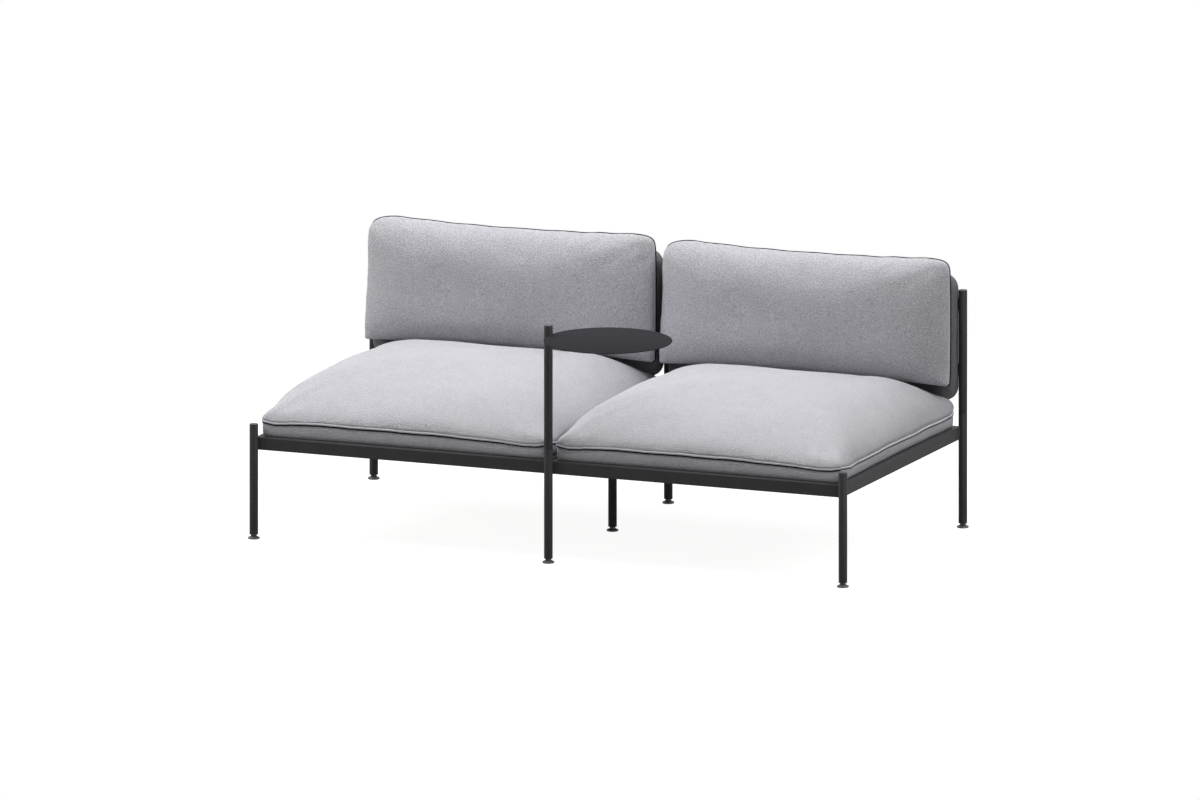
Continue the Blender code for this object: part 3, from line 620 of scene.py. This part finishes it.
# The filling's push is worked out on an even copy of the cover. The drawn cover then moves by a share of
# the broad swell and a share of the creases, which are told apart by averaging over many or few rounds.
FILLING_PRESSURE = 4.0
SIMULATED_FRAMES = 20
BROAD_SHARE = 0.5
BROAD_ROUNDS = 70
CREASE_SHARE = 0.3
CREASE_ROUNDS = 3
HELD_ABOVE_BOXING = 0.008


def filling_push(piece, held_below, furthest, voxel):
    """Places on an even copy of the cover, and how the filling moves them. What is below a height is held."""
    even = piece.modifiers.new("even", "REMESH")
    even.mode = "VOXEL"
    even.voxel_size = voxel
    mesh = applied(piece)
    piece.modifiers.clear()
    piece.data = mesh
    count = len(mesh.vertices)
    start = np.empty(count * 3)
    mesh.vertices.foreach_get("co", start)
    start = start.reshape(-1, 3)
    still = start[:, 2] < held_below
    held = piece.vertex_groups.new(name="held")
    held.add([int(i) for i in np.nonzero(still)[0]], 1.0, "REPLACE")
    cloth = piece.modifiers.new("filling", "CLOTH")
    cloth.settings.vertex_group_mass = "held"
    cloth.settings.use_pressure = True
    cloth.settings.uniform_pressure_force = FILLING_PRESSURE
    cloth.settings.effector_weights.gravity = 0.0
    cloth.settings.quality = 5
    for number in range(1, SIMULATED_FRAMES + 1):
        bpy.context.scene.frame_set(number)
    end = np.empty(count * 3)
    applied(piece).vertices.foreach_get("co", end)
    piece.modifiers.clear()
    piece.vertex_groups.clear()
    bpy.context.scene.frame_set(1)
    move = end.reshape(-1, 3) - start
    length = np.linalg.norm(move, axis=1, keepdims=True)
    move *= np.minimum(1.0, furthest / np.maximum(length, 1e-9))
    broad = settled(mesh, move, still, BROAD_ROUNDS)
    creases = settled(mesh, move, still, CREASE_ROUNDS) - broad
    return start, BROAD_SHARE * broad + CREASE_SHARE * creases


def stuffed(name, rings, held_below, furthest, voxel, finish):
    """A pillow's drawn cover, moved by the filling's push at the places nearest to each of its points."""
    piece = bpy.data.objects.new(name, cover_mesh(name, rings))
    bpy.context.scene.collection.objects.link(piece)
    drawn = piece.data
    start, move = filling_push(piece, held_below, furthest, voxel)
    near = KDTree(len(start))
    for i, spot in enumerate(start):
        near.insert(spot, i)
    near.balance()
    for point in drawn.vertices:
        found = near.find_n(point.co, 4)
        shares = np.array([1 / (distance + 0.0005) for _, _, distance in found])
        shift = (move[[i for _, i, _ in found]] * shares[:, None]).sum(0) / shares.sum()
        point.co += Vector(shift)
    piece.data = drawn
    piece.data.shade_smooth()
    piece.data.materials.clear()
    piece.data.materials.append(finish)
    return piece


def placed(piece, location, rotation, nodes):
    """Puts a soft piece in its place, riding on the frame."""
    piece.location = location
    piece.rotation_euler = rotation
    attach(piece, "frame")
    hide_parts(*nodes)


def sewn_cord(name, points, thickness, roundness, widths, finish):
    """A closed cord along a seam, with a width for each point as a share of its thickness."""
    curve = bpy.data.curves.new(name, "CURVE")
    curve.dimensions = "3D"
    curve.bevel_depth = thickness
    curve.bevel_resolution = roundness
    run = curve.splines.new("POLY")
    run.points.add(len(points) - 1)
    run.use_cyclic_u = True
    for along, point, width in zip(run.points, points, widths):
        along.co = (*point, 1.0)
        along.radius = width
    curve.materials.append(finish)
    piece = bpy.data.objects.new(name, curve)
    bpy.context.scene.collection.objects.link(piece)
    return piece


def add_piping(name, half_x, half_y, boxing, drawn_in, ears, waves, shaping):
    """A cord in a bias strip, sewn into the seam: a tube of slightly uneven thickness."""
    u, v, places = around(120)
    out_x, out_y = half_x + PIPING_REACH - PIPING_RADIUS, half_y + PIPING_REACH - PIPING_RADIUS
    x, y = outline(u, v, out_x, out_y, drawn_in, ears)
    points = shaping(np.stack([x, y, boxing + waved(waves, places)], 1), boxing, u, v, places)
    widths = [1.0 + 0.05 * math.sin(at * 131.0) + 0.03 * math.sin(at * 57.0 + 1.0) for at in places]
    return sewn_cord(name, points, PIPING_RADIUS, 3, widths, piping_wool_painted_light)


# Painted shade: a near-black cord that stands in for the shadow in the slot under the piping.
painted_shade_cord, tree, shader, place = new_finish("painted_shade_cord", Specular_IOR_Level=0.1, Roughness=0.9)
twist = shader_node(tree, "TexNoise", {"Vector": place, "Scale": 500.0, "Detail": 2.0}).outputs["Fac"]
tree.links.new(tinted(tree, twist, (0.009, 0.009, 0.010), (0.017, 0.017, 0.018)), shader.inputs["Base Color"])


SHADE_CORD_RADIUS = 0.0016
SHADE_CORD_DROP = 0.0041


def at_front(v):
    """1 along the front, where the slot is widest, and 0 along the sides and the rear."""
    return np.clip((-v - 0.94) / 0.06, 0.0, 1.0)


def add_painted_shade_cord(name, half_x, half_y, boxing, drawn_in, ears, waves, shaping, proud, side_share):
    """The thin black cord of painted shade between piping and boxing, at the sides and rear a share as thick.
    """
    u, v, places = around(120)
    reach = PIPING_REACH - SHADE_CORD_RADIUS + proud
    x, y = outline(u, v, half_x + reach, half_y + reach, drawn_in, ears)
    height = boxing - SHADE_CORD_DROP + waved(waves, places)
    points = shaping(np.stack([x, y, height], 1), boxing, u, v, places)
    widths = [side_share + (1 - side_share) * float(full) for full in at_front(v)]
    return sewn_cord(name, points, SHADE_CORD_RADIUS, 2, widths, painted_shade_cord)


def add_boxing(name, half_x, half_y, boxing, drawn_in, ears, waves, lean=0.0):
    """The upright band under the piping: a closed strip whose upper part may stand out past its foot."""
    u, v, places = around(90)
    lift = waved(waves, places)
    top = boxing - 0.0046 - 0.0012 * at_front(v)
    section = [(0.008, 0.0001), (lean + 0.0004, 0.0001), (lean, 0.0005)]
    section += [(0.5 * lean, 0.003), (0.15 * lean, 0.007), (0.0002, 0.5 * top), (0.0, top - 0.0012)]
    section += [(0.0006, top - 0.0003), (0.0014, top), (0.005, top)]
    rings = []
    for inset, height in section:
        out = lean - inset
        x, y = outline(u, v, half_x + out, half_y + out, drawn_in, ears)
        rings.append(np.stack([x, y, height + lift * height / boxing], 1).tolist())
    bm = skin(bmesh.new(), rings, shut=True)
    bmesh.ops.recalc_face_normals(bm, faces=bm.faces)
    mesh = bpy.data.meshes.new(name)
    bm.to_mesh(mesh)
    bm.free()
    mesh.shade_smooth()
    mesh.materials.append(wool)
    piece = bpy.data.objects.new(name, mesh)
    bpy.context.scene.collection.objects.link(piece)
    return piece


def seat_shape(ring, boxing, u, v, places):
    """Gathers by the seam, slow swells over the crown, and the rear pressed down under the back cushion."""
    x, y, z = ring.T
    above = np.clip((z - boxing) / 0.02, 0.0, 1.0)
    near = above * np.exp(-np.maximum(z - boxing, 0.0) / 0.030)
    gather = np.sin(places * 61.0 + 1.6 * np.sin(places * 9.0)) * 0.0012 + np.sin(places * 27.0) * 0.0012
    swell = 0.0022 * np.sin(x * 17.0 + 1.0) * np.sin(y * 14.0 + 0.5) + 0.0015 * np.sin(x * 9.0 - y * 21.0)
    z = z + near * gather + np.clip((z - boxing) / 0.06, 0.0, 1.0) * swell
    flank = np.clip((-x - 0.20) / 0.10, 0.0, 1.0) * np.clip((z - boxing) / 0.05, 0.0, 1.0)
    swell = 0.009 * np.exp(-(((y + 0.060) / 0.110) ** 2)) - 0.005 * np.exp(-(((y - 0.150) / 0.080) ** 2))
    z = z + flank * swell
    flank = np.clip((x - 0.20) / 0.10, 0.0, 1.0) * np.clip((z - boxing) / 0.05, 0.0, 1.0)
    z = z + flank * 0.009 * np.exp(-(((y - 0.190) / 0.100) ** 2))
    depth = np.maximum(0.0, (y - 0.3657) / 0.140 + 1)
    pressed = 0.66 * depth**2.6 * (1 - np.minimum(1.0, np.abs(x / 0.389)) ** 6)
    z = np.where(z < boxing + 0.003, z, boxing + 0.003 + (z - boxing - 0.003) * (1 - pressed))
    return np.stack([x, y, z], 1)


def unshaped(ring, boxing, u, v, places):
    """The seat's seam keeps to its waves alone."""
    return ring


SEAT_DRAWN_IN = (0.006, 0.006)
SEAT_EARS = (70.0, 70.0, 160.0, 20.0)
# What the filling adds to the crown is left out of the drawn cover.
seat_swell = 0.0043
seat_rings = pillow(
    SEAT_HALF_X, SEAT_HALF_Y, SEAT_BOXING, SEAT_CROWN - seat_swell, 2.5, SEAT_DRAWN_IN, SEAT_EARS,
    SEAT_WAVES, seat_shape, slack_front=1.0,
)
seat_sizes = (SEAT_HALF_X, SEAT_HALF_Y, SEAT_BOXING, SEAT_DRAWN_IN, SEAT_EARS, SEAT_WAVES)
flat = (0.0, 0.0, 0.0)
held = SEAT_BOXING + HELD_ABOVE_BOXING
left_pillow = stuffed("seat_pillow_left", seat_rings, held, furthest=0.010, voxel=0.006, finish=wool)
right_pillow = bpy.data.objects.new("seat_pillow_right", left_pillow.data.copy())
bpy.context.scene.collection.objects.link(right_pillow)
for side, middle, pillow_piece in (("left", -0.4, left_pillow), ("right", 0.4, right_pillow)):
    nodes = ["seat_cushion_" + side]
    location = (middle, *SEAT_MIDDLE)
    placed(pillow_piece, location, flat, nodes)
    placed(add_piping("seat_piping_" + side, *seat_sizes, unshaped), location, flat, nodes)
    # The black cord is painted shade for the slot under the seat's piping.
    cord = add_painted_shade_cord("seat_shade_cord_" + side, *seat_sizes, unshaped, proud=-0.0008, side_share=0.65)
    placed(cord, location, flat, nodes)
    placed(add_boxing("seat_boxing_" + side, *seat_sizes, lean=0.0045), location, flat, nodes)


# Back panels: 40 mm upholstered boards between the posts, in a darker grey of the same wool, darkened
# further as painted shade for the shaded gaps behind the cushions. The cloth is drawn round soft front
# edges and sewn shut along a seam that runs round the rear face.
PANEL_HALF_X = 0.3889
PANEL_HALF_Z = 0.1625
PANEL_MIDDLE = (0.7597, 0.4875)
# Partly the board's own darker grey and partly painted shade: darker than its lit corner shows.
board_wool_and_painted_shade = dyed(wool, "board_wool_and_painted_shade", (0.17, 0.166, 0.18), (0.27, 0.266, 0.285))


def panel_outline(inset, depth):
    """The panel's upright outline, moved in by an inset, at a depth behind its front face."""
    corner = max(0.037 - inset, 0.004)
    lying = rounded_outline(PANEL_HALF_X - inset, PANEL_HALF_Z - inset, corner, 0.0, steps=10)
    return [(x, depth, z) for x, z, _ in lying]


panel_sections = [(0.15, 0.0396), (0.030, 0.0397), (0.0185, 0.0396), (0.0170, 0.0388), (0.0155, 0.0396)]
panel_sections += [(0.004, 0.0397), (0.0015, 0.0395), (0.0004, 0.0389), (0.0, 0.0378), (0.0, 0.022)]
for angle in (0, 15, 30, 45, 60, 75):
    rise, run = math.sin(math.radians(angle)), math.cos(math.radians(angle))
    panel_sections.append((0.010 - 0.010 * run, 0.0105 - 0.010 * rise))
panel_sections += [(0.012, 0.0004), (0.040, 0.0001), (0.09, 0.0), (0.15, 0.0)]
for side, middle in (("left", -0.4), ("right", 0.4)):
    panel = skin(bmesh.new(), [panel_outline(inset, depth) for inset, depth in panel_sections])
    nodes = ["back_panel_" + side]
    place = (middle, *PANEL_MIDDLE)
    piece = finished("back_board_" + side, panel, board_wool_and_painted_shade, "frame", nodes, place, 60)


# Back cushions: loose pillows of the same wool, a little more mottled, that stand on the seat against
# the panels. The lower edge is square, the upper corners are rounder, and the upper seam dips and wavers.
BACK_HALF_X = 0.382
BACK_HALF_Y = 0.1565
BACK_BOXING = 0.024
BACK_CROWN = 0.082
BACK_MIDDLE = (0.7594, 0.5365)
BACK_DRAWN_IN = (-0.003, 0.011)
BACK_EARS = (70.0, 9.0, 17.0, 7.0)
BACK_WAVES = (
    (0.0, 0.0), (0.5, 1.0), (1.0, 0.0), (1.5, 1.0), (2.0, 0.0), (2.5, 1.0), (3.0, 0.0), (3.5, 1.0),
    (4.0, 0.0),
)
# How far the left edge is drawn in, in mm, from its lower end to its upper end, and how the upper edge
# dips and rises from right to left.
LEFT_DRAW = (
    (-170.0, -6.0), (-130.0, -4.5), (-73.0, 0.0), (-12.0, 4.5), (29.0, 6.0), (90.0, 4.5), (170.0, 3.0),
)
TOP_DIPS = (
    (0.0, 0.0), (2.0, 0.0), (2.08, 1.2), (2.14, -0.6), (2.19, 0.8), (2.24, -1.6), (2.31, -0.2),
    (2.39, -1.6), (2.46, -1.0), (2.56, -3.2), (2.63, -2.4), (2.70, -4.2), (2.78, -2.6), (2.85, -3.2),
    (2.91, -0.6), (3.0, -1.5), (4.0, 0.0),
)


def back_shape(ring, boxing, u, v, places):
    """Waves of the upper edge, gathers by the seam, and slow dents over the face."""
    x, y, z = ring.T
    x = x + waved(LEFT_DRAW, y * 1000) * np.clip((-x - 0.20) / 0.16, 0.0, 1.0)
    edge = np.clip((y / BACK_HALF_Y - 0.4) / 0.6, 0.0, 1.0) ** 2
    y = y + edge * waved(TOP_DIPS, places)
    above = np.clip((z - boxing) / 0.015, 0.0, 1.0)
    near = above * np.exp(-np.maximum(z - boxing, 0.0) / 0.020)
    gather = np.sin(places * 57.0 + 1.3 * np.sin(places * 11.0)) * 0.0012
    dents = 0.0016 * np.sin(x * 19.0 + 0.4) * np.sin(y * 25.0 + 1.0) + 0.0010 * np.sin(x * 7.0 + y * 31.0)
    z = z + near * gather + np.clip((z - boxing) / 0.05, 0.0, 1.0) * dents
    return np.stack([x, y, z], 1)


back_wool = dyed(wool, "back_wool", (0.43, 0.42, 0.455), (0.82, 0.81, 0.855))
back_swell = 0.0026
back_rings = pillow(
    BACK_HALF_X, BACK_HALF_Y, BACK_BOXING, BACK_CROWN - back_swell, 3.0, BACK_DRAWN_IN, BACK_EARS,
    BACK_WAVES, back_shape,
)
back_sizes = (BACK_HALF_X, BACK_HALF_Y, BACK_BOXING, BACK_DRAWN_IN, BACK_EARS, BACK_WAVES)
upright = (math.pi / 2, 0.0, 0.0)
held = BACK_BOXING + HELD_ABOVE_BOXING
left_pillow = stuffed("back_pillow_left", back_rings, held, furthest=0.007, voxel=0.005, finish=back_wool)
right_pillow = bpy.data.objects.new("back_pillow_right", left_pillow.data.copy())
bpy.context.scene.collection.objects.link(right_pillow)
for side, middle, pillow_piece in (("left", -0.4, left_pillow), ("right", 0.4, right_pillow)):
    nodes = ["back_cushion_" + side]
    location = (middle, *BACK_MIDDLE)
    placed(pillow_piece, location, upright, nodes)
    placed(add_piping("back_piping_" + side, *back_sizes, back_shape), location, upright, nodes)
    # Along the back cushion's seam the black cord is painted shade for the dark line at its edge.
    cord = add_painted_shade_cord("back_shade_cord_" + side, *back_sizes, back_shape, proud=0.0018, side_share=1.0)
    placed(cord, location, upright, nodes)
    placed(add_boxing("back_boxing_" + side, *back_sizes), location, upright, nodes)


# The studio: a white floor that keeps a faint shadow near the sofa, under a white sky. Broad lamps hang
# overhead, behind and high on both sides, weaker ones stand low at the left, right and front, and a tall
# narrow strip on the right draws the light line on the tubes.
floor_mesh = bpy.data.meshes.new("studio_floor")
floor_mesh.from_pydata([(-40, -40, 0), (40, -40, 0), (40, 40, 0), (-40, 40, 0)], [], [(0, 1, 2, 3)])
floor = bpy.data.objects.new("studio_floor", floor_mesh)
bpy.context.scene.collection.objects.link(floor)
floor_paint = bpy.data.materials.new("white_floor")
floor_paint.use_nodes = True
tree = floor_paint.node_tree
tree.nodes.clear()


def looked_at(tree):
    """1 for what the camera sees, also mirrored or through something, and 0 for what only gives light."""
    rays = shader_node(tree, "LightPath", {})
    direct = {0: rays.outputs["Is Camera Ray"], 1: rays.outputs["Is Glossy Ray"]}
    seen = shader_node(tree, "Math", direct, operation="ADD").outputs[0]
    through = {0: seen, 1: rays.outputs["Is Transmission Ray"]}
    return shader_node(tree, "Math", through, operation="ADD").outputs[0]


seen = looked_at(tree)
# The shadow fades out between 1.3 and 2.6 m from the sofa's middle.
spot = shader_node(tree, "TexCoord", {}).outputs["Object"]
away = shader_node(tree, "VectorMath", {0: spot, 1: (0.0, 0.4, 0.0)}, operation="DISTANCE").outputs["Value"]
far = ranged(tree, away, 0.0, 1.0, 1.3, 2.6)
FLOOR_GREY = (0.26, 0.26, 0.26, 1.0)
WHITE = (1.0, 1.0, 1.0, 1.0)
matt = shader_node(tree, "BsdfDiffuse", {"Color": FLOOR_GREY})
glow = shader_node(tree, "Emission", {"Color": WHITE, "Strength": 0.93})
lit = shader_node(tree, "AddShader", {0: matt.outputs[0], 1: glow.outputs[0]})
white = shader_node(tree, "Emission", {"Color": WHITE, "Strength": 1.0})
shown = shader_node(tree, "MixShader", {"Fac": far, 1: lit.outputs[0], 2: white.outputs[0]})
unseen = shader_node(tree, "BsdfDiffuse", {"Color": FLOOR_GREY})
surface = shader_node(tree, "MixShader", {"Fac": seen, 1: unseen.outputs[0], 2: shown.outputs[0]})
shader_node(tree, "OutputMaterial", {"Surface": surface.outputs[0]})
floor_mesh.materials.append(floor_paint)

world = bpy.data.worlds.new("studio")
world.use_nodes = True
bpy.context.scene.world = world
tree = world.node_tree
strength = ranged(tree, looked_at(tree), 0.05, 1.0, 0.0, 1.0)
tree.nodes["Background"].inputs["Color"].default_value = WHITE
tree.links.new(strength, tree.nodes["Background"].inputs["Strength"])


def add_lamp(name, location, size, power, aim=(0.0, 0.4, 0.3)):
    """A rectangular lamp that faces the sofa's middle, or another point."""
    data = bpy.data.lights.new(name, "AREA")
    data.shape = "RECTANGLE"
    data.size, data.size_y = size
    data.energy = power
    lamp = bpy.data.objects.new(name, data)
    lamp.location = location
    lamp.rotation_euler = (Vector(aim) - Vector(location)).to_track_quat("-Z", "Y").to_euler()
    bpy.context.scene.collection.objects.link(lamp)
    return lamp


add_lamp("overhead_lamp", (0.0, 0.39, 6.3), (5.0, 5.0), 190.0)
add_lamp("rear_overhead_lamp", (0.0, 3.84, 5.2), (5.0, 3.0), 110.0)
add_lamp("left_overhead_lamp", (-5.12, -0.5, 4.98), (3.5, 3.5), 300.0)
add_lamp("right_overhead_lamp", (5.12, -0.5, 4.98), (3.5, 3.5), 197.0)
add_lamp("left_lamp", (-5.65, -3.13, 2.46), (3.5, 3.0), 80.0)
add_lamp("right_lamp", (6.0, -2.79, 1.99), (2.5, 3.0), 9.0)
add_lamp("front_lamp", (-0.59, -6.34, 2.11), (4.0, 3.0), 2.0)
glint = add_lamp("right_strip", (3.2, -0.9, 1.0), (0.3, 2.0), 110.0, aim=(0.0, 0.4, 0.4))
glint.visible_diffuse = False
bpy.context.scene.view_settings.view_transform = "Standard"
